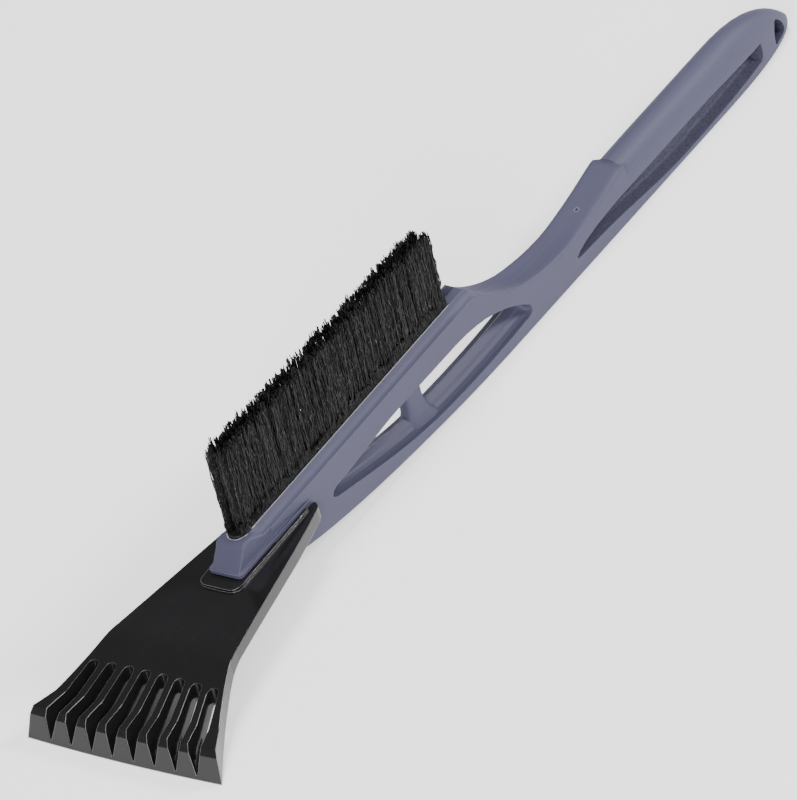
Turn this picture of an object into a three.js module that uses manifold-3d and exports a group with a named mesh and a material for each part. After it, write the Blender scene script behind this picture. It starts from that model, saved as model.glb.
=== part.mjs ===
// Windshield ice scraper with a snow brush: a one-piece moulded handle, a toothed scraper blade
// that plugs onto its nose, and a brush block with stapled tufts that slides into its top channel.
// Millimetres, +Z up. Stations along the tool are measured from the scraping edge's corners towards
// the handle end; the finished group is shifted so that its origin is under the middle of the tool.
import * as THREE from 'three';
import { mergeVertices } from 'three/addons/utils/BufferGeometryUtils.js';
import Module from 'manifold-3d';

const wasm = await Module();
wasm.setup();

// ---- driving dimensions -------------------------------------------------------------------
const HANDLE_END = 506; // station of the handle's rear end
const FIT_GAP = 0.3; // clearance where two pieces seat in each other
const OVERCUT = 2; // how far a cutter runs past the face that it opens

// handle
const BODY_HALF = 8.5; // half width of the handle
const BOTTOM_RADIUS = 0.7; // rounding of the two lower edges
const NOSE_START = 88.3;
const KEEL_START = 112; // behind the blade the handle goes down to full depth
const FLANGE_FRONT = 86.8; // base flange of the nose, seated on the blade's pad
const FLANGE_THICK = 2;
const RAMP_PEAK = 375.6; // the thumb ramp ends here and the grip starts
const SHOULDER = 14.8; // height where the grip's crown starts
const CROWN = 27; // top of the grip
const GRIP_TAPER_START = 442; // from here the grip rounds to its end, seen from above
const CROWN_EXPONENT = 2.1;

// brush rail on top of the handle
const RAIL_X = 100; // reference point of the rail
const RAIL_Z = 40.6;
const RAIL_SLOPE = 0.0165; // the rail climbs slightly towards the grip
const RAIL_END = 265;
const LIP_HALF = 4.9;
const COVE = 4; // radius of the hollow under each lip
const CHANNEL_HALF = 4.2;
const CHANNEL_DEPTH = 4.6;
const CHANNEL_FRONT = 101.4; // centre of the channel's round front end

// brush
const BLOCK_HALF = CHANNEL_HALF - FIT_GAP;
const BLOCK_END = 254;
const BLOCK_PROUD = 0.9; // how far the block stands above the lips
const HOLE_RADIUS = 1.8;
const HOLE_DEPTH = 3.2;
const TUFT_RADIUS = 1.5;
const TUFT_SIDES = 8;
const ROW_OFFSET = 2; // the two staggered rows stand this far off the middle
const TIP_OFFSET = 2.95; // centre of a tuft's splayed tip
const TIP_HALF_X = 3.05;
const TIP_HALF_Y = 2.7;
const FIRST_TUFT = 102;
const LAST_TUFT = 250.5;
const TUFTS_IN_ROW = 24;
const TIP_HEIGHT_FRONT = 41.6; // bristle tips above the lips, first and last tuft
const TIP_HEIGHT_REAR = 36;

// scraper blade
const EDGE_HALF = 50; // half of the scraping edge
const TOOTH_LAND = 13.6; // height of the tooth tops over the scraping edge
const BEVEL_DEPTH = 3.7; // how far the scraping bevel leans back
const BEVEL_HEIGHT = 10.6;
const TOOTH_LINE = 5.9; // rear of the small chamfer over the bevel
const EDGE_BOW = 1.2; // the scraping edge bulges this far in the middle
const SLOT_COUNT = 8;
const SLOT_PITCH = 10.76;
const FAN_CENTRE = 162; // all slots point at this station
const SLOT_END = 30.2; // centre of a slot's round end
const PAD_FRONT = 80; // the raised pad that carries the handle's nose
const PAD_END = 134;
const PAD_HALF = 10.1;
const PAD_TOP = 28.3; // at its front; it climbs with the blade
const PAD_SLOPE = 0.027;
const TIP_END = 139.5; // end of the two wings beside the handle
const SOCKET_FRONT = 92;
const SOCKET_HALF = 6.5;
const SOCKET_LOW = 22.8;
const SOCKET_HIGH = 26.4;

// ---- small helpers ------------------------------------------------------------------------
const v2 = (x, y) => new THREE.Vector2(x, y);

// three.js geometry to manifold solid and back
function solid(geometry) {
  const bare = geometry.clone();
  for (const name of ['normal', 'uv']) bare.deleteAttribute(name);
  const merged = mergeVertices(bare, 1e-5);
  const vertProperties = new Float32Array(merged.attributes.position.array);
  const triVerts = new Uint32Array(merged.index.array);
  return new wasm.Manifold(new wasm.Mesh({ numProp: 3, vertProperties, triVerts }));
}

function geometryOf(manifold) {
  const { vertProperties, triVerts } = manifold.getMesh();
  const geometry = new THREE.BufferGeometry();
  geometry.setAttribute('position', new THREE.BufferAttribute(vertProperties, 3));
  geometry.setIndex(new THREE.BufferAttribute(triVerts, 1));
  return geometry;
}

// closed rings of Vector3, all with the same count, skinned in order and capped at both ends
function loft(rings) {
  const count = rings[0].length;
  const positions = rings.flat().flatMap((p) => [p.x, p.y, p.z]);
  const index = [];
  for (let r = 0; r + 1 < rings.length; r += 1) {
    for (let i = 0; i < count; i += 1) {
      const j = (i + 1) % count;
      const [a, b, c, d] = [r * count + i, r * count + j, (r + 1) * count + j, (r + 1) * count + i];
      index.push(a, b, c, a, c, d);
    }
  }
  index.push(...capOf(rings[0], 0, false));
  index.push(...capOf(rings.at(-1), (rings.length - 1) * count, true));
  const geometry = new THREE.BufferGeometry();
  geometry.setAttribute('position', new THREE.Float32BufferAttribute(positions, 3));
  geometry.setIndex(index);
  return facingOut(geometry);
}

// triangulates a flat ring in its own plane, so hollow outlines are capped as well;
// `along` tells whether the triangles run round in the ring's own direction
function capOf(ring, first, along) {
  const normal = new THREE.Vector3();
  ring.forEach((p, i) => normal.add(p.clone().cross(ring[(i + 1) % ring.length])));
  const [ax, ay, az] = normal.toArray().map(Math.abs);
  const flat = ring.map((p) => {
    if (ax >= ay && ax >= az) return v2(p.y, p.z);
    return ay >= az ? v2(p.z, p.x) : v2(p.x, p.y);
  });
  const ringTurn = Math.sign(THREE.ShapeUtils.area(flat));
  return THREE.ShapeUtils.triangulateShape(flat, []).flatMap(([i, j, k]) => {
    const sameWay = Math.sign(THREE.ShapeUtils.area([flat[i], flat[j], flat[k]])) === ringTurn;
    return sameWay === along ? [first + i, first + j, first + k] : [first + k, first + j, first + i];
  });
}

// turns every triangle over if the enclosed volume comes out negative
function facingOut(geometry) {
  const p = geometry.attributes.position;
  const index = geometry.index.array;
  const [a, b, c] = [new THREE.Vector3(), new THREE.Vector3(), new THREE.Vector3()];
  let volume = 0;
  for (let i = 0; i < index.length; i += 3) {
    a.fromBufferAttribute(p, index[i]);
    b.fromBufferAttribute(p, index[i + 1]);
    c.fromBufferAttribute(p, index[i + 2]);
    volume += a.dot(b.cross(c));
  }
  if (volume < 0) {
    for (let i = 0; i < index.length; i += 3) [index[i], index[i + 2]] = [index[i + 2], index[i]];
  }
  return geometry;
}

// a shape drawn in the side view (x along the tool, y up) extruded across the tool
function acrossTool(shape, half, curveSegments = 12, steps = 1) {
  const geometry = new THREE.ExtrudeGeometry(shape, {
    depth: 2 * half, bevelEnabled: false, curveSegments, steps,
  });
  return geometry.rotateX(Math.PI / 2).translate(0, half, 0);
}

// a shape drawn in plan extruded upwards
function upwards(shape, low, high, curveSegments = 12) {
  const geometry = new THREE.ExtrudeGeometry(shape, {
    depth: high - low, bevelEnabled: false, curveSegments,
  });
  return geometry.translate(0, 0, low);
}

function box(x0, x1, y0, y1, z0, z1) {
  return new THREE.BoxGeometry(x1 - x0, y1 - y0, z1 - z0)
    .translate((x0 + x1) / 2, (y0 + y1) / 2, (z0 + z1) / 2);
}

// value at x of a smooth curve through [x, value] knots, level at each turning point
function through(knots) {
  const slope = knots.map(([, y], i) => {
    const [x0, y0] = knots[Math.max(i - 1, 0)];
    const [x1, y1] = knots[Math.min(i + 1, knots.length - 1)];
    const inner = i > 0 && i + 1 < knots.length;
    return inner && (y1 - y) * (y - y0) <= 0 ? 0 : (y1 - y0) / (x1 - x0);
  });
  return (x) => {
    if (x <= knots[0][0]) return knots[0][1];
    if (x >= knots.at(-1)[0]) return knots.at(-1)[1];
    const i = knots.findIndex(([k]) => k > x) - 1;
    const [x0, y0] = knots[i];
    const [x1, y1] = knots[i + 1];
    const w = x1 - x0;
    const t = (x - x0) / w;
    return y0 * (1 + 2 * t) * (1 - t) ** 2 + slope[i] * w * t * (1 - t) ** 2
      + y1 * t * t * (3 - 2 * t) + slope[i + 1] * w * t * t * (t - 1);
  };
}

const railTop = (x) => RAIL_Z + RAIL_SLOPE * (x - RAIL_X);
const padTop = (x) => PAD_TOP + PAD_SLOPE * (x - PAD_FRONT);

// placement of everything that is square to a face through (x, z) that climbs along the tool
function climbing(x, z, slope) {
  return new THREE.Matrix4().makeTranslation(x, 0, z)
    .multiply(new THREE.Matrix4().makeRotationY(-Math.atan(slope)))
    .multiply(new THREE.Matrix4().makeTranslation(-x, 0, 0));
}
const RAIL_FRAME = climbing(RAIL_X, RAIL_Z, RAIL_SLOPE);
const PAD_FRAME = climbing(PAD_FRONT, PAD_TOP, PAD_SLOPE);

// ---- handle: section rings along the tool ---------------------------------------------------
const ARC_STEPS = 3; // facets of a lower edge
const TOP_STEPS = 11; // facets of the upper contour on each side

const underside = through([
  [112, 18.4], [124, 14], [147, 9.4], [179, 5.3], [210, 2.7], [240, 0.9], [262, 0.2], [280, 0],
  [300, 0], [430, 0], [455, 0], [480, 0.4], [492, 1.1], [500, 2], [504, 3], [506, 4.2],
]);
const neckTop = through([
  [269, 39.6], [275, 34.6], [282, 29.9], [290, 25.8], [299, 22.5], [310, 20.2], [320, 18.8],
  [330, 18.3], [338, 18.8], [348, 20.2], [358, 22], [368, 24.2], [373, 25.3], [376, 25.4],
]);
const neckDish = through([[269, 0.5], [278, 3], [300, 3], [322, 1.3], [345, 0.4], [376, 0.2]]);
const crownTop = through([
  [376, 26.7], [395, CROWN], [462, CROWN], [475, 25.6], [485, 22.8], [493, 19], [499, 14.8],
  [503.5, 10.4], [506, 7.4],
]);
const crownFoot = through([[376, SHOULDER], [440, SHOULDER], [472, 13.8], [492, 11], [506, 5.6]]);

// plan of the grip's end: a blunt bullet
function gripHalf(x) {
  if (x <= GRIP_TAPER_START) return BODY_HALF;
  const t = (x - GRIP_TAPER_START) / (HANDLE_END + 0.8 - GRIP_TAPER_START);
  return BODY_HALF * (1 - t ** 2.7) ** (1 / 2.2);
}

// closed ring at station x, half-contour from the bottom middle to the top middle and mirrored
function ring(x, low, half, upper) {
  const radius = Math.min(BOTTOM_RADIUS, half * 0.6);
  const right = [];
  for (let i = 0; i <= ARC_STEPS; i += 1) {
    const a = (i / ARC_STEPS) * (Math.PI / 2);
    right.push(v2(half - radius + radius * Math.sin(a), low + radius - radius * Math.cos(a)));
  }
  right.push(...upper);
  const left = right.slice(0, -1).reverse().map((p) => v2(-p.x, p.y));
  return [...right, ...left].map((p) => new THREE.Vector3(x, p.x, p.y));
}

// convex upper contour: a superellipse from (half, foot) to (0, top), optionally dished on top
function crownContour(half, foot, top, exponent, dish = 0) {
  const points = [];
  for (let i = 0; i <= TOP_STEPS; i += 1) {
    const a = (i / TOP_STEPS) * (Math.PI / 2);
    const y = half * Math.max(Math.cos(a), 0) ** (2 / exponent);
    const rise = Math.sin(a) ** (2 / exponent);
    points.push(v2(i === TOP_STEPS ? 0 : y, foot + (top - foot) * rise
      - dish * rise * (1 - (y / half) ** 2)));
  }
  return points;
}

// rail contour: a hollow quarter arc up to the lip, then a flat top
function railContour(half, lip, foot, top) {
  const flat = 3;
  const arc = TOP_STEPS - flat;
  const points = [];
  for (let i = 0; i <= arc; i += 1) {
    const a = (i / arc) * (Math.PI / 2);
    points.push(v2(half - (half - lip) * Math.sin(a), top - (top - foot) * Math.cos(a)));
  }
  for (let i = 1; i <= flat; i += 1) points.push(v2(lip * (1 - i / flat), top));
  return points;
}

function handleBody() {
  const rings = [];
  const convex = (x, low, half, foot, top, exponent, dish) => {
    rings.push(ring(x, low, half, crownContour(half, foot, top, exponent, dish)));
  };
  const rail = (x, low) => {
    const half = x < KEEL_START ? 8 : BODY_HALF;
    rings.push(ring(x, low, half, railContour(half, LIP_HALF, railTop(x) - COVE, railTop(x))));
  };
  // leaning nose front with a rounded top; its underside is buried in the base flange
  const base = (x) => padTop(x) + 2 * FIT_GAP;
  convex(NOSE_START, base(NOSE_START), 7, 30.5, 30.9, 6);
  convex(93.7, base(93.7), 7.1, 36.2, 37.6, 6);
  convex(94.6, base(94.6), 7.1, 37.6, 39.2, 6);
  convex(96, base(96), 7.1, 38.6, 40.1, 6);
  convex(99, base(99), 7.2, 38.8, railTop(99), 6);
  convex(103, base(103), 7.5, 37.4, railTop(103), 2.4);
  rail(108, base(108));
  rail(KEEL_START - 0.2, base(KEEL_START));
  // keel and brush rail over the window
  for (const x of [112, 116, 120, 125, 131, 138, 147, 157, 168, 179, 194, 210, 225, 240, 254, 262]) {
    rail(x, underside(x));
  }
  rail(RAIL_END, underside(RAIL_END));
  // dished neck and the thumb ramp
  for (const x of [269, 272, 275, 278.5, 282, 286, 290, 294.5, 299, 304, 310, 316, 323, 330, 336,
    342, 348, 354, 360, 366, 370, 373, RAMP_PEAK]) {
    const top = neckTop(x);
    convex(x, underside(x), BODY_HALF, top - 2.6, top, 4.5, neckDish(x));
  }
  // grip
  for (const x of [376, 385, 395, 415, 440, 452, 462, 470, 477, 483, 488, 492.5, 496.5, 500, 502.5,
    504.5, 505.6, 506]) {
    convex(x, underside(x), gripHalf(x), crownFoot(x), crownTop(x), CROWN_EXPONENT);
  }
  return solid(loft(rings));
}

// ---- handle: cutters ------------------------------------------------------------------------
// outline of the window between keel and rail, side view
function windowOutline() {
  const shape = new THREE.Shape();
  shape.moveTo(152, 21.6);
  shape.quadraticCurveTo(152.4, 24.4, 158, 24.6);
  shape.bezierCurveTo(176, 25, 188, 27.8, 206, 27.9);
  shape.lineTo(248, 27.7);
  shape.bezierCurveTo(272, 27.2, 287, 19, 296.6, 11.4);
  shape.quadraticCurveTo(299.6, 7.2, 294, 6.4);
  shape.bezierCurveTo(276, 5, 250, 4.9, 232, 6);
  shape.bezierCurveTo(206, 7.2, 185, 12.6, 158, 18.8);
  shape.quadraticCurveTo(152.2, 20, 152, 21.6);
  return shape;
}

// the window narrows towards the middle plane: its floor climbs in a cove to a centre ridge
function windowCutter() {
  const outline = windowOutline().getPoints(9).slice(0, -1);
  const roof = 28;
  const middle = 226;
  const levels = [
    [BODY_HALF + OVERCUT, 1, 1], [BODY_HALF, 1, 1], [6.3, 0.99, 0.99], [4.5, 0.955, 0.982],
    [3.2, 0.9, 0.972], [2.5, 0.84, 0.962], [0, 0.735, 0.955],
  ];
  const profile = [...levels, ...levels.slice(0, -1).reverse().map(([y, s, l]) => [-y, s, l])];
  return solid(loft(profile.map(([y, tall, long]) => outline.map((p) => (
    new THREE.Vector3(middle + (p.x - middle) * long, y, roof - (roof - p.y) * tall)
  )))));
}

// upright rib across the window, spreading where it meets the keel and the rail
function windowRib() {
  const centre = 220.6;
  const levels = [
    [3, 13, 7.4], [6, 11, 6.4], [8.5, 8.8, 5.3], [11, 7, 4.2], [14, 6, 3.4], [18, 5.6, 3.1],
    [23, 5.8, 3.2], [26, 6.6, 3.9], [28.6, 8.2, 5],
  ];
  const sides = 20;
  return solid(loft(levels.map(([z, halfX, halfY]) => Array.from({ length: sides }, (_, i) => {
    const a = ((i + 0.5) / sides) * 2 * Math.PI;
    const [c, s] = [Math.cos(a), Math.sin(a)];
    const square = (v) => Math.sign(v) * Math.abs(v) ** 0.5;
    return new THREE.Vector3(centre + halfX * square(c), halfY * square(s), z);
  }))));
}

// outline of the long cored pocket in each side of the grip
function pocketOutline() {
  const shape = new THREE.Shape();
  shape.moveTo(332.5, 8.4);
  shape.bezierCurveTo(333, 11, 346, 14, 372, 14.3);
  shape.lineTo(432, 14.3);
  shape.bezierCurveTo(450, 14.1, 466, 13, 479, 12.4);
  shape.quadraticCurveTo(480.4, 8, 477, 4.4);
  shape.bezierCurveTo(462, 3.4, 440, 2.2, 414, 2.2);
  shape.bezierCurveTo(392, 2.2, 372, 6.6, 340, 7.4);
  shape.quadraticCurveTo(333, 7.4, 332.5, 8.4);
  return shape;
}

const POCKET_WEB = 1.6; // half thickness left between the two pockets

function pocketCutter(side) {
  const outline = pocketOutline().getPoints(9).slice(0, -1);
  const levels = [
    [BODY_HALF + OVERCUT, 1.01, 1.002], [BODY_HALF - 0.6, 1, 1], [2.6, 0.95, 0.992],
    [POCKET_WEB, 0.9, 0.985],
  ];
  const roof = 14.3;
  const rear = 479;
  return solid(loft(levels.map(([y, tall, long]) => outline.map((p) => (
    new THREE.Vector3(rear - (rear - p.x) * long, side * y, roof - (roof - p.y) * tall)
  )))));
}

// D-shaped hanging hole that follows the round end of the grip
function hangHole() {
  const shape = new THREE.Shape();
  shape.moveTo(489.6, 4.6);
  shape.quadraticCurveTo(489.4, 3.2, 491, 3.1);
  shape.lineTo(497.4, 3.5);
  shape.quadraticCurveTo(499.6, 3.9, 499.6, 6);
  shape.quadraticCurveTo(499, 10.2, 495, 13);
  shape.quadraticCurveTo(493.2, 13.9, 492.2, 12.2);
  shape.quadraticCurveTo(490.2, 9, 489.6, 4.6);
  return solid(acrossTool(shape, BODY_HALF, 5));
}

// shallow hollow in each side of the nose, running out to a point
function noseHollow(side) {
  const shape = new THREE.Shape();
  shape.moveTo(84, 30.9);
  shape.lineTo(140, 31.2);
  shape.quadraticCurveTo(112, 35.2, 98, 36.2);
  shape.lineTo(84, 36.2);
  const depth = 1.6;
  return solid(acrossTool(shape, depth / 2, 8).translate(0, side * (BODY_HALF + 0.5 - depth / 2), 0));
}

// brush channel: round at the front, open to the neck at the rear
function channelShape(half, end) {
  const shape = new THREE.Shape();
  shape.moveTo(end, -half);
  shape.lineTo(end, half);
  shape.lineTo(CHANNEL_FRONT, half);
  shape.absarc(CHANNEL_FRONT, 0, half, Math.PI / 2, Math.PI * 1.5, false);
  return shape;
}

function channelCutter() {
  const shape = channelShape(CHANNEL_HALF, RAIL_END + 22);
  return solid(upwards(shape, -CHANNEL_DEPTH, 12).applyMatrix4(RAIL_FRAME));
}

// plan outline with a square rear end and rounded front corners
function roundFronted(front, rear, half, corner) {
  const shape = new THREE.Shape();
  shape.moveTo(rear, -half);
  shape.lineTo(rear, half);
  shape.lineTo(front + corner, half);
  shape.quadraticCurveTo(front, half, front, half - corner);
  shape.lineTo(front, corner - half);
  shape.quadraticCurveTo(front, -half, front + corner, -half);
  return shape;
}

// base flange of the nose, a little wider than the nose itself
function noseFlange() {
  const half = BODY_HALF + 0.1;
  const slab = roundFronted(FLANGE_FRONT, 141, half, 2.4);
  return solid(upwards(slab, FIT_GAP, FLANGE_THICK, 4).applyMatrix4(PAD_FRAME));
}

// tongue that plugs into the blade's socket
function tongue() {
  const half = SOCKET_HALF - FIT_GAP;
  return solid(box(SOCKET_FRONT + FIT_GAP, KEEL_START + 1, -half, half,
    SOCKET_LOW + FIT_GAP, SOCKET_HIGH - FIT_GAP));
}

function handleGeometry() {
  let body = handleBody().add(noseFlange()).add(tongue());
  body = body.subtract(windowCutter()).add(windowRib()).subtract(channelCutter());
  for (const side of [1, -1]) body = body.subtract(pocketCutter(side)).subtract(noseHollow(side));
  return geometryOf(body.subtract(hangHole()));
}

// ---- scraper blade --------------------------------------------------------------------------
const bladeHalf = through([
  [0, EDGE_HALF], [12, 43.9], [27, 37.4], [43, 31.9], [57, 28.9], [80, 24.5], [110, 18.9],
  [126, 15.6], [134.5, 13.7], [138, 12.4], [TIP_END, 10.6],
]);
const bladeTop = through([
  [TOOTH_LINE, TOOTH_LAND], [15.4, 14.6], [17, 15], [31, 20.4], [42, 24.7], [44.6, 25.4],
  [48, 25.8], [TIP_END, 28.8],
]);
const bladeUnder = through([
  [0, 0], [16, 6.4], [31, 13.2], [43, 18.6], [50, 20.2], [60, 20.6], [110, 21.6], [TIP_END, 23],
]);
const PLAN_STATIONS = [-OVERCUT, 0, 4, 8, 12, 17, 22, 27, 32, 37, 43, 50, 57, 68, 80, 95, 110, 118, 126,
  134.5, 136.5, 138, 139, TIP_END];
const TOP_STATIONS = [15.4, 16.2, 17, 31, 42, 43.4, 44.6, 46, 48, 80, 110, TIP_END];
const UNDER_STATIONS = [TIP_END, 110, 80, 60, 54, 50, 46.5, 43, 37, 31, 23, 16];

// moves the front of the blade forwards in the middle, so that the scraping edge bulges slightly
function bowedFront(geometry) {
  const p = geometry.attributes.position;
  for (let i = 0; i < p.count; i += 1) {
    const fade = Math.max(0, 1 - p.getX(i) / 48);
    const bulge = 1 - (p.getY(i) / EDGE_HALF) ** 2;
    p.setX(i, p.getX(i) - EDGE_BOW * bulge * fade);
  }
  return geometry;
}

function bladePlate() {
  const plan = new THREE.Shape([
    ...PLAN_STATIONS.map((x) => v2(x, -bladeHalf(x))),
    ...PLAN_STATIONS.map((x) => v2(x, bladeHalf(x))).reverse(),
  ]);
  const sideView = new THREE.Shape([
    v2(0, 0), v2(BEVEL_DEPTH, BEVEL_HEIGHT), v2(TOOTH_LINE, TOOTH_LAND),
    ...TOP_STATIONS.map((x) => v2(x, bladeTop(x))),
    ...UNDER_STATIONS.map((x) => v2(x, bladeUnder(x))), v2(0.8, 0.15),
  ]);
  const profile = bowedFront(acrossTool(sideView, EDGE_HALF + OVERCUT, 12, 20));
  return solid(upwards(plan, -1, 40)).intersect(solid(profile));
}

// Drafted slot with a round end. Each row of SLOT_SECTIONS is a station, the slot's floor and half
// width there, and its half width at the top: a V in the front face, open underneath behind it.
const SLOT_SECTIONS = [
  [-OVERCUT - EDGE_BOW, 1.4, 0.12, 3.9], [1.5, 1.6, 0.3, 3.85], [7, 1.9, 0.9, 3.7], [13, 3.6, 1.3, 3.5],
  [20, 7, 1.4, 3.2], [SLOT_END, 11.6, 1.4, 2.9],
];
const SLOT_TOP = 1.5; // the cutter's top runs this far over the ribs

function slotCutter(offset) {
  const endSteps = 6;
  const [, endFloor, endLow, endHigh] = SLOT_SECTIONS.at(-1);
  const layer = (upper) => {
    const at = (x, floor) => (upper ? Math.max(bladeTop(x), TOOTH_LAND) + SLOT_TOP : floor);
    const side = (sign) => SLOT_SECTIONS.slice(0, -1).map(([x, floor, low, high]) => (
      new THREE.Vector3(x, sign * (upper ? high : low), at(x, floor))
    ));
    const radius = upper ? endHigh : endLow;
    const end = Array.from({ length: endSteps + 1 }, (_, i) => {
      const a = -Math.PI / 2 + (i / endSteps) * Math.PI;
      const x = SLOT_END + radius * Math.cos(a);
      return new THREE.Vector3(x, radius * Math.sin(a), at(x, endFloor));
    });
    return [...side(-1), ...end, ...side(1).reverse()];
  };
  const turn = Math.atan2(offset, FAN_CENTRE);
  return solid(loft([layer(false), layer(true)]).rotateZ(-turn).translate(0, offset, 0));
}

// raised pad under the handle's nose, with a round-cornered front
function pad() {
  const slab = roundFronted(PAD_FRONT, PAD_END, PAD_HALF, 5);
  return solid(upwards(slab, -4, 0, 6).applyMatrix4(PAD_FRAME));
}

function bladeGeometry() {
  let blade = bladePlate().add(pad());
  for (let i = 0; i < SLOT_COUNT; i += 1) {
    blade = blade.subtract(slotCutter((i - (SLOT_COUNT - 1) / 2) * SLOT_PITCH));
  }
  // rear notch round the keel, the socket for the tongue
  const notch = BODY_HALF + 0.1 + FIT_GAP;
  blade = blade.subtract(solid(box(KEEL_START - FIT_GAP, TIP_END + OVERCUT, -notch, notch, 0, 60)));
  blade = blade.subtract(solid(box(SOCKET_FRONT, KEEL_START, -SOCKET_HALF, SOCKET_HALF,
    SOCKET_LOW, SOCKET_HIGH)));
  return geometryOf(blade);
}

// ---- brush ----------------------------------------------------------------------------------
// tuft centres: two staggered rows, numbered from the front
function tuftPlaces() {
  const pitch = (LAST_TUFT - FIRST_TUFT) / (TUFTS_IN_ROW - 1);
  const places = [];
  for (let i = 0; i < TUFTS_IN_ROW; i += 1) {
    places.push({ x: FIRST_TUFT + i * pitch, side: -1 });
    if (i + 1 < TUFTS_IN_ROW) places.push({ x: FIRST_TUFT + (i + 0.5) * pitch, side: 1 });
  }
  return places;
}

function blockGeometry() {
  const low = -CHANNEL_DEPTH + FIT_GAP;
  const shape = channelShape(BLOCK_HALF, BLOCK_END);
  let block = solid(upwards(shape, low, BLOCK_PROUD, 8));
  for (const { x, side } of tuftPlaces()) {
    const hole = new THREE.CylinderGeometry(HOLE_RADIUS, HOLE_RADIUS, HOLE_DEPTH + 1, TUFT_SIDES)
      .rotateX(Math.PI / 2)
      .translate(x, side * ROW_OFFSET, BLOCK_PROUD - HOLE_DEPTH + (HOLE_DEPTH + 1) / 2);
    block = block.subtract(solid(hole));
  }
  return geometryOf(block);
}

// one bundle: straight in its hole, then splaying to a nearly square tip
function tuftGeometry({ x, side }) {
  const t = (x - FIRST_TUFT) / (LAST_TUFT - FIRST_TUFT);
  const tip = TIP_HEIGHT_FRONT + (TIP_HEIGHT_REAR - TIP_HEIGHT_FRONT) * t;
  const root = BLOCK_PROUD - HOLE_DEPTH + FIT_GAP;
  const layer = (z, y, halfX, halfY) => Array.from({ length: TUFT_SIDES }, (_, i) => {
    const a = ((i + 0.5) / TUFT_SIDES) * 2 * Math.PI;
    const reach = 1 / Math.max(Math.abs(Math.cos(Math.PI / TUFT_SIDES)), 0.5);
    const [c, s] = [Math.cos(a) * reach, Math.sin(a) * reach];
    return new THREE.Vector3(halfX * c, side * (y + halfY * s), z);
  });
  return loft([
    layer(root, ROW_OFFSET, TUFT_RADIUS, TUFT_RADIUS),
    layer(BLOCK_PROUD, ROW_OFFSET, TUFT_RADIUS, TUFT_RADIUS),
    layer(tip, TIP_OFFSET, TIP_HALF_X, TIP_HALF_Y),
  ]);
}

// ---- materials and assembly -----------------------------------------------------------------
const handlePlastic = new THREE.MeshStandardMaterial({
  name: 'handle_plastic', color: 0x68697d, roughness: 0.5, metalness: 0,
});
const bladePlastic = new THREE.MeshStandardMaterial({
  name: 'blade_plastic', color: 0x232325, roughness: 0.22, metalness: 0,
});
const blockPlastic = new THREE.MeshStandardMaterial({
  name: 'block_plastic', color: 0x1c1c1d, roughness: 0.4, metalness: 0,
});
const bristle = new THREE.MeshStandardMaterial({
  name: 'bristle', color: 0x1f1f1f, roughness: 0.6, metalness: 0,
});

function part(name, geometry, material) {
  const mesh = new THREE.Mesh(geometry, material);
  mesh.name = name;
  return mesh;
}

const tool = new THREE.Group();
tool.position.x = -(HANDLE_END - EDGE_BOW) / 2;
tool.add(part('handle', handleGeometry(), handlePlastic));
tool.add(part('scraper_blade', bladeGeometry(), bladePlastic));

const brush = new THREE.Group();
brush.applyMatrix4(RAIL_FRAME);
brush.add(part('brush_block', blockGeometry(), blockPlastic));
tuftPlaces().forEach((place, i) => {
  const tuft = part(`bristle_tuft_${String(i + 1).padStart(2, '0')}`, tuftGeometry(place), bristle);
  tuft.position.x = place.x;
  brush.add(tuft);
});
tool.add(brush);

tool.updateMatrixWorld(true);
export default tool;
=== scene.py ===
import math
import random

import bpy
from mathutils import Matrix, Vector


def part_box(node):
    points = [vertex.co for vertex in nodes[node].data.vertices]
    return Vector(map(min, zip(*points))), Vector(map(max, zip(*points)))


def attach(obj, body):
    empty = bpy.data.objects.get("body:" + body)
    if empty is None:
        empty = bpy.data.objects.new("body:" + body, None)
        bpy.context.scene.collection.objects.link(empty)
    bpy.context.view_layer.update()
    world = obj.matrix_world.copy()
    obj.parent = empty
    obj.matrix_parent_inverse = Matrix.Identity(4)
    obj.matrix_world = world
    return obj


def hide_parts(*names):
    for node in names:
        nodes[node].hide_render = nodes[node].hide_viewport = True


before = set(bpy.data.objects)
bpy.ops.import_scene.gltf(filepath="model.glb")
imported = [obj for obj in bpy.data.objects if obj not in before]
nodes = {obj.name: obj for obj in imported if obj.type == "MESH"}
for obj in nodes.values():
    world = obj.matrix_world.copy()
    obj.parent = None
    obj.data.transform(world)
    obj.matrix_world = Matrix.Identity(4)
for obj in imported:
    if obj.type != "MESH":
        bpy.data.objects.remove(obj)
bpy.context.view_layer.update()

# The viewpoint. A long lens about six metres off, above the blade's near corner, so the tool runs from
# the lower left to the upper right.
camera_data = bpy.data.cameras.new("studio_camera")
camera_data.sensor_fit = "HORIZONTAL"
camera_data.sensor_width = 36
camera_data.lens = 665.2
camera_data.clip_end = 50
camera = bpy.data.objects.new("studio_camera", camera_data)
bpy.context.scene.collection.objects.link(camera)
camera_right = Vector((0.54797, -0.80058, -0.24249))
camera_up = Vector((0.60663, 0.18073, 0.77417))
camera_back = camera_right.cross(camera_up)
camera_turn = Matrix((camera_right, camera_up, camera_back)).transposed().to_4x4()
camera.matrix_world = Matrix.Translation((-3.5577, -3.4907, 3.5950)) @ camera_turn
bpy.context.scene.camera = camera

# The handle. One polypropylene moulding in a satin grey-blue, from the nose under the brush to the
# hanging hole. Its surface is spark-textured in the mould, so it is dull with a very fine grain and
# slightly cloudy where the plastic flowed.


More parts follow.
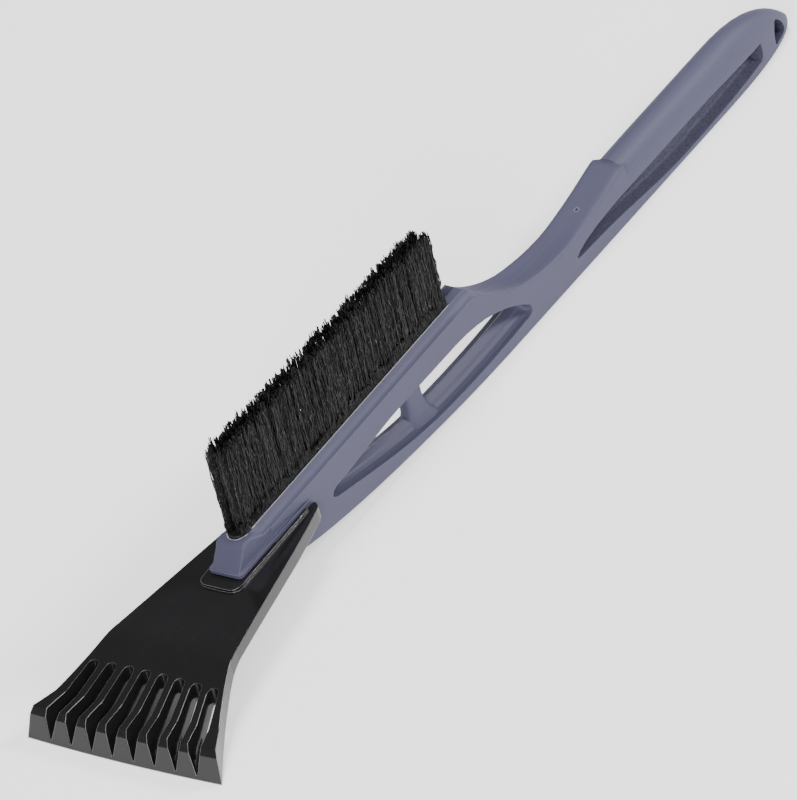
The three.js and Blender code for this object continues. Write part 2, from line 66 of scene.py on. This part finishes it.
class Wire:
    """One output of a material's nodes, with the sums that are done on it."""

    def __init__(self, socket):
        self.socket = socket
        self.tree = socket.id_data

    def node(self, kind, settings=None, values=(), output=0, **named):
        """A new node fed by position (values) and by input name (named); returns one output of it."""
        made = self.tree.nodes.new("ShaderNode" + kind)
        for key, value in (settings or {}).items():
            setattr(made, key, value)
        targets = [(made.inputs[i], value) for i, value in enumerate(values)]
        targets += [(made.inputs[name.replace("_", " ")], value) for name, value in named.items()]
        for target, value in targets:
            if isinstance(value, Wire):
                self.tree.links.new(value.socket, target)
            else:
                target.default_value = value
        return Wire(made.outputs[output])

    def calc(self, operation, *values):
        """One sum of plain numbers and wires."""
        return self.node("Math", {"operation": operation}, values)

    def __add__(self, other):
        return self.calc("ADD", self, other)

    __radd__ = __add__

    def __sub__(self, other):
        return self.calc("SUBTRACT", self, other)

    def __rsub__(self, other):
        return self.calc("SUBTRACT", other, self)

    def __mul__(self, other):
        return self.calc("MULTIPLY", self, other)

    __rmul__ = __mul__

    def between(self, low, high):
        """0 below low, 1 above high, smooth in between."""
        return self.node(
            "MapRange", {"interpolation_type": "SMOOTHSTEP"}, Value=self, From_Min=low, From_Max=high
        )

    def noise(self, scale, detail=2.0, roughness=0.5, stretch=(1, 1, 1)):
        """Noise of that many cells per metre, on the coordinates in self."""
        placed = self.node("Mapping", None, Vector=self, Scale=stretch)
        return self.node(
            "TexNoise", None, Vector=placed, Scale=scale, Detail=detail, Roughness=roughness
        )

    def mixed(self, low, high):
        """The colour low where self is 0, high where it is 1."""
        mix = self.node("Mix", {"data_type": "RGBA"}, (self,), output=2)
        for target, colour in zip((mix.socket.node.inputs[6], mix.socket.node.inputs[7]), (low, high)):
            if isinstance(colour, Wire):
                self.tree.links.new(colour.socket, target)
            else:
                target.default_value = (*colour, 1)
        return mix

    def coordinate(self, axis):
        """The x, y or z (axis 0, 1 or 2) of the coordinates in self."""
        return self.node("SeparateXYZ", None, Vector=self, output=axis)

    def rounded_edges(self, radius, samples):
        """The surface's normal with its edges rounded off to that radius."""
        return self.node("Bevel", {"samples": samples}, Radius=radius)

    def turned_from_flat(self):
        """How far the normal in self is turned from the flat face's own; 0 away from the edges."""
        flat = self.node("NewGeometry", output=1)
        return 1 - self.node("VectorMath", {"operation": "DOT_PRODUCT"}, (self, flat), 1)

    def bump(self, strength, distance, normal):
        """A normal that follows the height in self, on top of the given one."""
        return self.node(
            "Bump", None, Strength=strength, Distance=distance, Height=self, Normal=normal
        )


def new_finish(name, **constants):
    """A material with one Principled shader; returns it, its shader and its object coordinates."""
    finish = bpy.data.materials.new(name)
    finish.use_nodes = True
    shader = finish.node_tree.nodes["Principled BSDF"]
    for key, value in constants.items():
        shader.inputs[key.replace("_", " ")].default_value = value
    place = Wire(finish.node_tree.nodes.new("ShaderNodeTexCoord").outputs["Object"])
    return finish, shader, place


def feed(shader, **wires):
    """Link each wire to the shader's input of that name."""
    for key, wire in wires.items():
        wire.tree.links.new(wire.socket, shader.inputs[key.replace("_", " ")])


handle_finish, handle_shader, on_handle = new_finish(
    "satin_handle_plastic", IOR=1.49, Specular_IOR_Level=0.3
)
flow = on_handle.noise(26, 3, 0.55, (0.35, 1, 1))
grain = on_handle.noise(2600, 2, 0.6)
scuff = on_handle.noise(240, 4, 0.65, (0.12, 1, 1)).between(0.63, 0.78)
along = on_handle.coordinate(0)
across = on_handle.coordinate(1)
height = on_handle.coordinate(2)

# the cored pockets in the grip have a coarser spark texture: speckled, rougher and bumpier. Their
# colour is also a little darker, which is painted shade in the recess, and the painted edge highlights
# stop at them
pocket_front = 0.0798
pocket_rear = 0.2272
pocket_bottom = 0.0006
pocket_top = 0.0146
half_web = 0.0078
cored = (
    along.between(pocket_front, pocket_front + 0.0008)
    * (1 - across.calc("ABSOLUTE", across).between(half_web - 0.0004, half_web))
    * (1 - height.between(pocket_top - 0.0005, pocket_top))
    * (1 - along.between(pocket_rear - 0.0008, pocket_rear))
    * height.between(pocket_bottom, pocket_bottom + 0.0006)
)
coarse = on_handle.noise(900, 3, 0.7)

# the moulded edges are slightly rounded, and painted a little paler than the faces: a painted
# highlight along them
handle_rounded = on_handle.rounded_edges(0.0005, 6)
painted_edge_highlight = handle_rounded.turned_from_flat().between(0.03, 0.25) * (1 - cored)

# a small raised ring with a sunk pip where the plastic was fed into the mould, on the thumb ramp; the
# ring is painted paler, a painted highlight, and the pip darker, painted shade in its hollow
gate_centre = (0.0966, 0.0, 0.0)
gate_lowest = 0.010
pip_radius = 0.0004
ring_inner = 0.0010
ring_outer = 0.0012
in_plan = on_handle.node("VectorMath", {"operation": "MULTIPLY"}, (on_handle, (1, 1, 0)))
from_gate = in_plan.node("VectorMath", {"operation": "DISTANCE"}, (in_plan, gate_centre), 1)
gate_side = height.between(gate_lowest, gate_lowest + 0.002)
gate_ring = (
    gate_side
    * from_gate.between(ring_inner - 0.0003, ring_inner)
    * (1 - from_gate.between(ring_outer, ring_outer + 0.0004))
)
gate_pip = gate_side * (1 - from_gate.between(pip_radius, pip_radius + 0.0003))

# a painted highlight: a thin bright line painted along the mouth of the rail's channel, where its edge
# catches the light
rail_slope = 0.0165
lip_height = 0.0431
channel_front = -0.1510
channel_rear = 0.0020
lip_inner = 0.0041
lip_outer = 0.0048
lip_fade = 0.0001
past_front = along.calc("MAXIMUM", channel_front - along, 0)
from_channel = along.calc("SQRT", past_front * past_front + across * across)
painted_lip_highlight = (
    (height - rail_slope * along).between(lip_height - 0.0004, lip_height - 0.0002)
    * from_channel.between(lip_inner, lip_inner + lip_fade)
    * (1 - from_channel.between(lip_outer - lip_fade, lip_outer))
    * (1 - along.between(channel_rear - 0.0010, channel_rear))
)

cloud = (flow * 0.6 + grain * 0.4).between(0.3, 0.7)
plain_colour = cloud.mixed((0.050, 0.049, 0.085), (0.059, 0.058, 0.100))
# the pockets' colour is speckled texture, a little darker as painted shade in the recess
pocket_grain_and_shade_colour = coarse.between(0.35, 0.7).mixed((0.043, 0.043, 0.070), (0.068, 0.068, 0.104))
# the paler edges, gate ring and channel mouth are painted highlights; the dark pip is painted shade
pale = painted_edge_highlight.calc("MAXIMUM", painted_edge_highlight, gate_ring * 0.8)
with_edges = pale.mixed(plain_colour, (0.130, 0.130, 0.165))
with_lip_highlight = painted_lip_highlight.mixed(with_edges, (0.360, 0.360, 0.380))
with_pip_shade = gate_pip.mixed(with_lip_highlight, (0.015, 0.015, 0.026))
relief = 0.5 * grain + cored * coarse * 2.5 + gate_ring * 60 - gate_pip * 40
feed(
    handle_shader,
    Base_Color=cored.mixed(with_pip_shade, pocket_grain_and_shade_colour),
    Roughness=0.52 + 0.09 * flow - 0.06 * scuff + 0.12 * cored,
    Normal=relief.bump(0.3, 0.00008, handle_rounded),
)
nodes["handle"].material_slots[0].material = handle_finish

# The scraper blade. One glossy black moulding, pushed on to the handle's nose: its scraping edge is
# bevelled, its teeth break up thick ice and its two wings grip the handle. Handling has left the
# gloss with hair-fine rubs along the tool. Its rounded edges are painted a paler grey, a painted
# highlight along them.
blade_finish, blade_shader, on_blade = new_finish(
    "gloss_blade_plastic", IOR=1.5, Specular_IOR_Level=0.42
)
smear = on_blade.noise(38, 3, 0.55)
rubs = on_blade.noise(900, 3, 0.7, (0.05, 1, 1)).between(0.56, 0.72)
swell = on_blade.noise(55, 2, 0.5)
blade_rounded = on_blade.rounded_edges(0.0007, 8)
# painted highlight: the rounded edges are painted a paler grey
painted_rim_highlight = blade_rounded.turned_from_flat().between(0.15, 0.28)
gloss_black = (smear * 0.6 + rubs * 0.4).mixed((0.0060, 0.0060, 0.0064), (0.0105, 0.0105, 0.0112))
feed(
    blade_shader,
    Base_Color=painted_rim_highlight.mixed(gloss_black, (0.220, 0.220, 0.223)),
    Roughness=0.11 + 0.06 * smear + 0.07 * rubs,
    Normal=(swell + 0.008 * rubs).bump(0.15, 0.0002, blade_rounded),
)
nodes["scraper_blade"].material_slots[0].material = blade_finish

# The brush block. A black plastic strip that is drilled for the tufts and slid into the rail's
# channel; little of it shows between the bristles.
block_finish, block_shader, on_block = new_finish("brush_block_plastic", IOR=1.5)
block_grain = on_block.noise(1400, 2, 0.6)
feed(
    block_shader,
    Base_Color=block_grain.mixed((0.010, 0.010, 0.011), (0.018, 0.018, 0.019)),
    Roughness=0.22 + 0.12 * block_grain,
    Normal=block_grain.bump(0.2, 0.00005, on_block.rounded_edges(0.0004, 6)),
)
nodes["brush_block"].material_slots[0].material = block_finish

# The bristles. Crimped black nylon filaments, folded over a steel anchor and punched into the block's
# holes in bundles, in two staggered rows. The bundles splay as they leave their holes and close up
# into one even curtain with ragged tips.
strands = random.Random(11)
bristle_finish, bristle_shader, on_bristles = new_finish(
    "crimped_nylon", IOR=1.5, Specular_IOR_Level=0.28
)
# a painted sheen: a paler colour comes and goes along the crimp where the strands would catch the
# light, and gives way to black at the foot, painted shade where the filaments are packed
foot_height = 0.0455
foot_fade = 0.006
strand_sheen_noise = on_bristles.noise(2000, 2, 0.7, (1, 1, 0.22))
above_rail = on_bristles.coordinate(2) - rail_slope * on_bristles.coordinate(0)
clear_of_foot_shade = above_rail.between(foot_height, foot_height + foot_fade)
painted_crimp_sheen = strand_sheen_noise.between(0.54, 0.74) * clear_of_foot_shade
feed(
    bristle_shader,
    Base_Color=painted_crimp_sheen.mixed((0.0020, 0.0020, 0.0020), (0.075, 0.075, 0.076)),
    Roughness=0.26 + 0.25 * strand_sheen_noise,
)

filament_radius = 0.00021


def add_strand(line, root, tip, steps, crimp, thickness=1.0):
    """One filament from root to tip, crimped at random along its length."""
    strand = line.splines.new("POLY")
    strand.points.add(steps - 1)
    for k, point in enumerate(strand.points):
        t = k / (steps - 1)
        swing = crimp * min(1, 5 * t)
        x = root.x + (tip.x - root.x) * t + strands.uniform(-swing, swing)
        y = root.y + (tip.y - root.y) * t + strands.uniform(-swing, swing)
        point.co = (x, y, root.z + (tip.z - root.z) * t, 1)
        point.radius = thickness


def new_strands():
    """An empty bundle of square filaments, for add_strand to fill."""
    line = bpy.data.curves.new("bristles", "CURVE")
    line.dimensions = "3D"
    line.bevel_depth = filament_radius
    line.bevel_resolution = 0
    line.use_fill_caps = True
    return line


def bristle_piece(line, name):
    """The filaments as one mesh that rides with the tool."""
    curve = bpy.data.objects.new(name, line)
    bpy.context.scene.collection.objects.link(curve)
    bpy.ops.object.select_all(action="DESELECT")
    curve.select_set(True)
    bpy.context.view_layer.objects.active = curve
    bpy.ops.object.convert(target="MESH")
    piece = bpy.context.view_layer.objects.active
    piece.data.materials.clear()
    piece.data.materials.append(bristle_finish)
    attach(piece, "root")
    return piece


def nearest_bundle(row, x):
    """The foot and the top of the bundle in the row that is nearest to x."""
    name, low, high = min(row, key=lambda bundle: abs((bundle[1].x + bundle[2].x) / 2 - x))
    return low.z, high.z


rows = {-1: [], 1: []}
for name in sorted(n for n in nodes if n.startswith("bristle_tuft_")):
    low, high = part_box(name)
    rows[-1 if low[1] + high[1] < 0 else 1].append((name, Vector(low), Vector(high)))
brush_front = min(low.x for row in rows.values() for name, low, high in row)
brush_rear = max(high.x for row in rows.values() for name, low, high in row)
brush_length = brush_rear - brush_front

clumps_per_bundle = 22
filaments_in_clump = 4
filament_points = 12
first_clump = 0.0012
clump_run = brush_length - 0.0008
end_crowding = 0.2
end_zone = 0.010
foot_offset = 0.0026
tip_offset = foot_offset + 0.0004
tips_lean = 0.0018
rear_rise = 0.0010
for side, row in rows.items():
    line = new_strands()
    clumps = clumps_per_bundle * len(row)
    for clump in range(clumps):
        # the clumps are spread along the whole row, a little closer together towards its two ends
        even = (clump + 0.5) / clumps
        toward_rear = even - end_crowding * math.sin(2 * math.pi * even) / (2 * math.pi)
        x = brush_front + first_clump + toward_rear * clump_run
        foot, top = nearest_bundle(row, x)
        clump_y = strands.uniform(-0.0020, 0.0020)
        clump_height = strands.gauss(0.0, 0.0010)
        # the outermost clumps all lean alike, so that both ends of the brush are even
        end_distance = min(toward_rear, 1 - toward_rear) * brush_length
        clump_lean = strands.gauss(tips_lean, 0.0008 * min(1, end_distance / end_zone))
        for _ in range(filaments_in_clump):
            root = Vector((
                x + strands.uniform(-0.0009, 0.0009),
                side * foot_offset + clump_y * 0.6 + strands.uniform(-0.0004, 0.0004),
                foot,
            ))
            tip = Vector((
                x + clump_lean + strands.gauss(0, 0.0004),
                side * tip_offset + clump_y + strands.gauss(0, 0.0005),
                top + clump_height + rear_rise * toward_rear + strands.gauss(-0.0003, 0.0005),
            ))
            add_strand(line, root, tip, filament_points, strands.uniform(0.0003, 0.0007))
    bristles = bristle_piece(line, "bristles_near" if side < 0 else "bristles_far")
    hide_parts(*[name for name, low, high in row])

# The fringe. Filaments that were folded short in the same bundles stand as a thick, uneven border
# along both feet of the brush.
fringe_clumps = 100
stubs_in_clump = 11
stub_points = 4
stub_crimp = 0.0002
stub_thickness = 1.4
first_stubs = 0.0010
stub_lift = 0.0026
line = new_strands()
for side, row in rows.items():
    for clump in range(fringe_clumps):
        x = brush_front + first_stubs + (clump + 0.5) / fringe_clumps * brush_length
        bundle_foot, _ = nearest_bundle(row, x)
        foot = bundle_foot + stub_lift
        clump_height = strands.uniform(0.0024, 0.0056)
        clump_out = strands.uniform(0.0039, 0.0043)
        for _ in range(stubs_in_clump):
            root = Vector((
                x + strands.uniform(-0.0008, 0.0008),
                side * strands.uniform(0.0032, 0.0040),
                foot,
            ))
            tip = Vector((
                x + strands.gauss(0, 0.0005),
                side * (clump_out + strands.gauss(0, 0.0002)),
                foot + clump_height + strands.gauss(0, 0.0004),
            ))
            add_strand(line, root, tip, stub_points, stub_crimp, stub_thickness)
bristle_piece(line, "bristle_fringe")

# The studio. A plain pale floor, a surround that is white low down and grey overhead, and three large
# soft lamps: one high on the near side beyond the grip, one overhead and one low in front of the blade.
floor_gap = 0.0002
bpy.ops.mesh.primitive_plane_add(size=30, location=(0, 0, -floor_gap))
floor = bpy.context.view_layer.objects.active
floor.name = "floor"
floor_finish, floor_shader, _ = new_finish("pale_floor", Roughness=0.9, Specular_IOR_Level=0.1)
floor_shader.inputs["Base Color"].default_value = (0.70, 0.70, 0.70, 1)
floor_shader.inputs["Emission Color"].default_value = (1, 1, 1, 1)
floor_shader.inputs["Emission Strength"].default_value = 0.85
floor.data.materials.append(floor_finish)


def soft_lamp(name, place, aim, size, watts):
    """A round area lamp at a place, turned to shine at the aim."""
    lamp_data = bpy.data.lights.new(name, "AREA")
    lamp_data.shape = "DISK"
    lamp_data.size = size
    lamp_data.energy = watts
    lamp = bpy.data.objects.new(name, lamp_data)
    bpy.context.scene.collection.objects.link(lamp)
    lamp.location = place
    lamp.rotation_euler = (Vector(aim) - Vector(place)).to_track_quat("-Z", "Y").to_euler()


soft_lamp("key_lamp", (2.1, -2.1, 2.1), (0, 0, 0.02), 0.9, 120)
soft_lamp("top_lamp", (0.3, 0.2, 3.0), (0, 0, 0.02), 1.2, 95)
soft_lamp("front_lamp", (-2.6, -1.4, 1.3), (-0.1, 0, 0.02), 1.4, 110)

surround = bpy.data.worlds.new("studio")
surround.use_nodes = True
sky = surround.node_tree.nodes
view = sky.new("ShaderNodeTexCoord")
split = sky.new("ShaderNodeSeparateXYZ")
ramp = sky.new("ShaderNodeValToRGB")
ramp.color_ramp.elements[0].position = 0.10
ramp.color_ramp.elements[0].color = (1, 1, 1, 1)
ramp.color_ramp.elements[1].position = 0.42
ramp.color_ramp.elements[1].color = (0.20, 0.20, 0.205, 1)
surround.node_tree.links.new(view.outputs["Generated"], split.inputs[0])
surround.node_tree.links.new(split.outputs[2], ramp.inputs[0])
surround.node_tree.links.new(ramp.outputs[0], sky["Background"].inputs[0])
sky["Background"].inputs[1].default_value = 0.9
bpy.context.scene.world = surround
